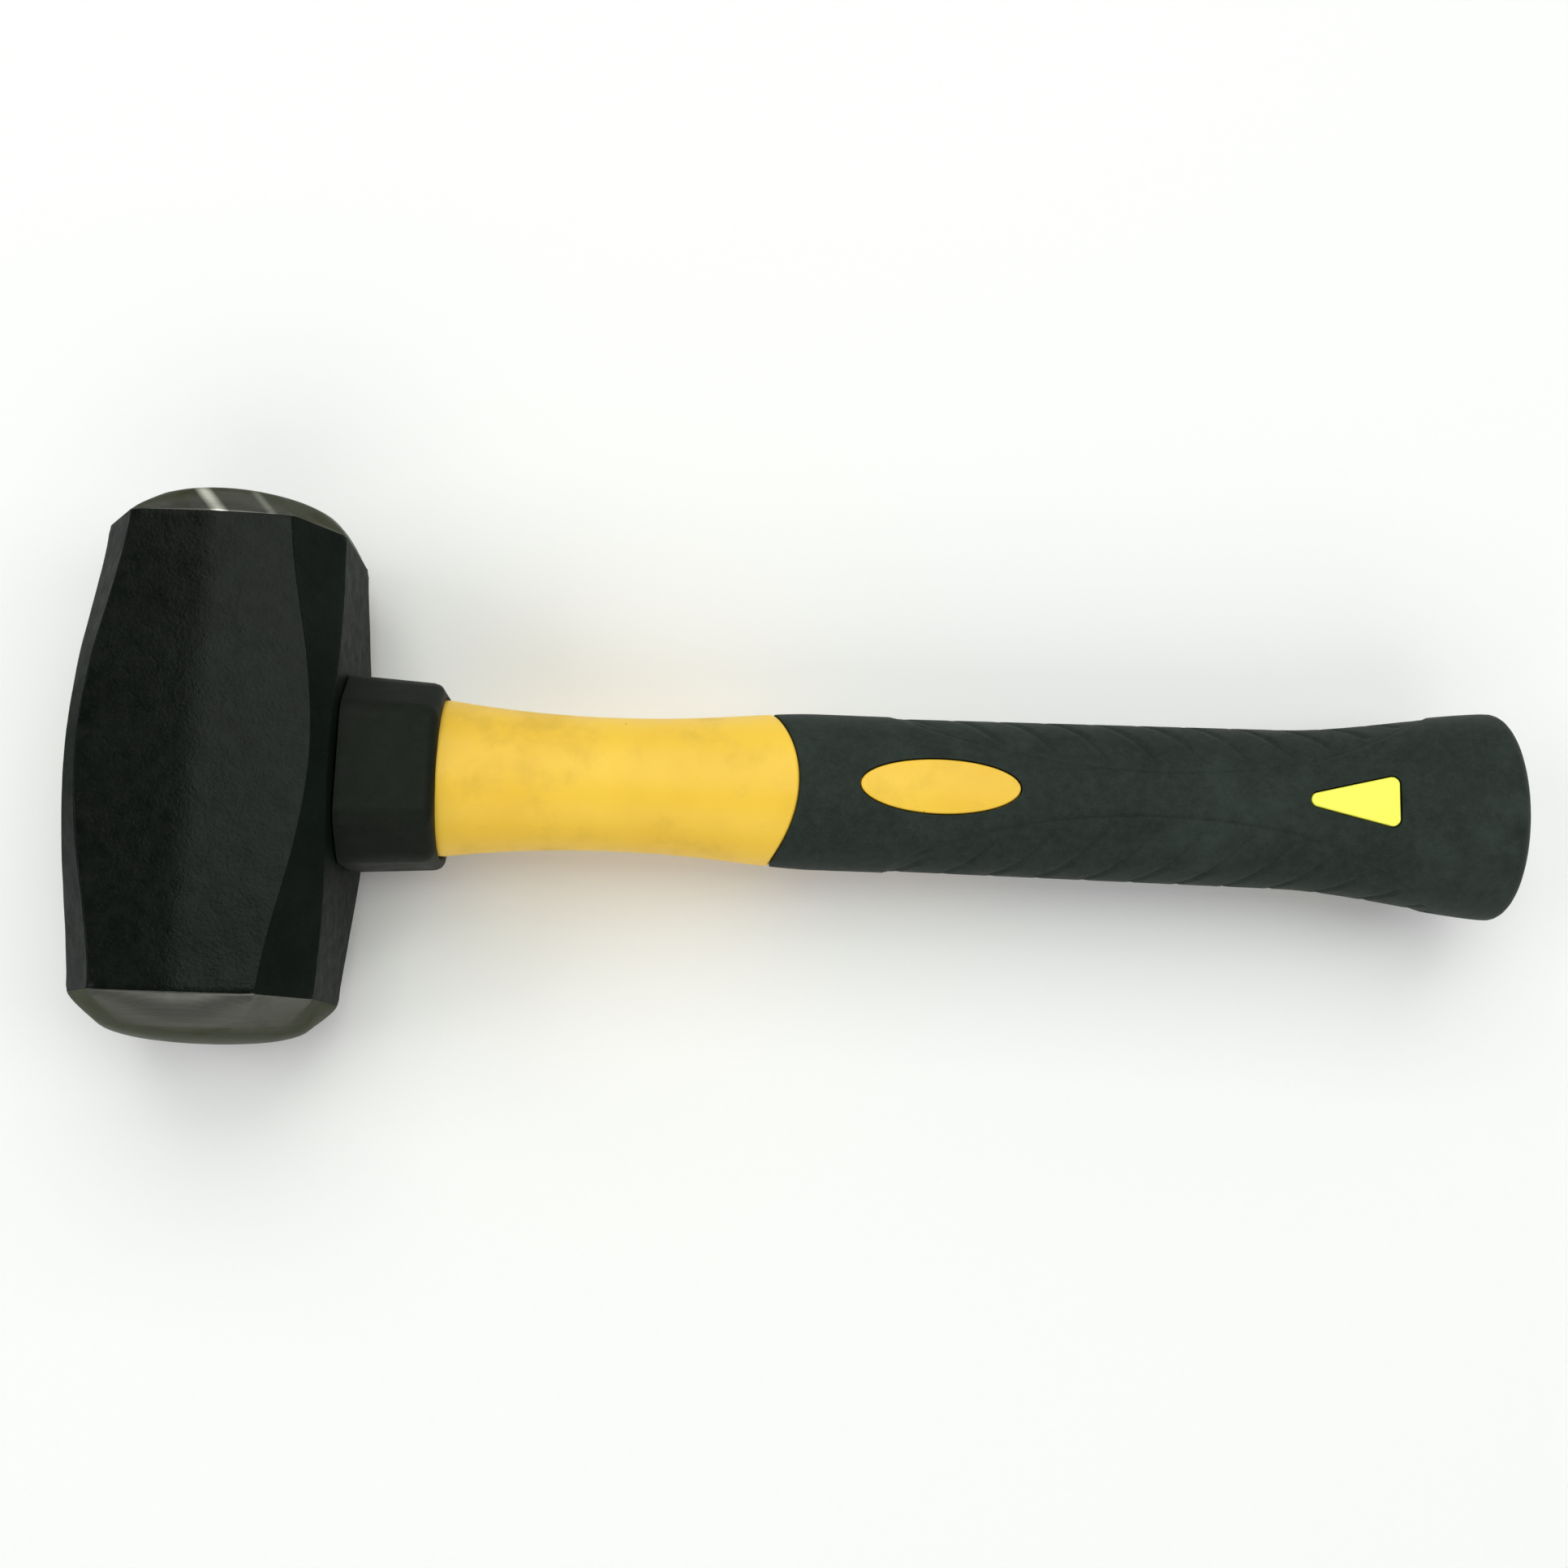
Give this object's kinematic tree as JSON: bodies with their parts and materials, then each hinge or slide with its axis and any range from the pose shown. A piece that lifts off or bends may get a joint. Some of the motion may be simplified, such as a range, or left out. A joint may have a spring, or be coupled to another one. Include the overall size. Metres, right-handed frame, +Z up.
{
  "type": "sledgehammer",
  "caption": "Short handled sledgehammer: a forged eight sided head with crowned ground ends, a fibreglass cored yellow handle, a rubber neck guard and a flared rubber grip.",
  "frame": {"origin": "middle of the lower cheek of the head, straight below the middle of the eye, on the plane that the head lies on", "axes": "+X runs along the handle from the head to the butt, +Y along the head's striking axis, +Z up out of the upper cheek"},
  "size_m": [0.2761, 0.1052, 0.0507],
  "materials": {
    "head_steel": "satin",
    "fibreglass": "satin",
    "epoxy_resin": "gloss",
    "jacket_yellow": "satin",
    "guard_rubber": "matte",
    "grip_rubber": "matte",
    "inlay_lemon": "satin"
  },
  "bodies": {
    "root": {"head": "head_steel", "core_rod": "fibreglass", "epoxy_fill": "epoxy_resin", "handle_jacket": "jacket_yellow", "neck_guard": "guard_rubber", "grip_sleeve": "grip_rubber", "triangle_inlay_front": "inlay_lemon", "triangle_inlay_back": "inlay_lemon"}
  },
  "joints": []
}
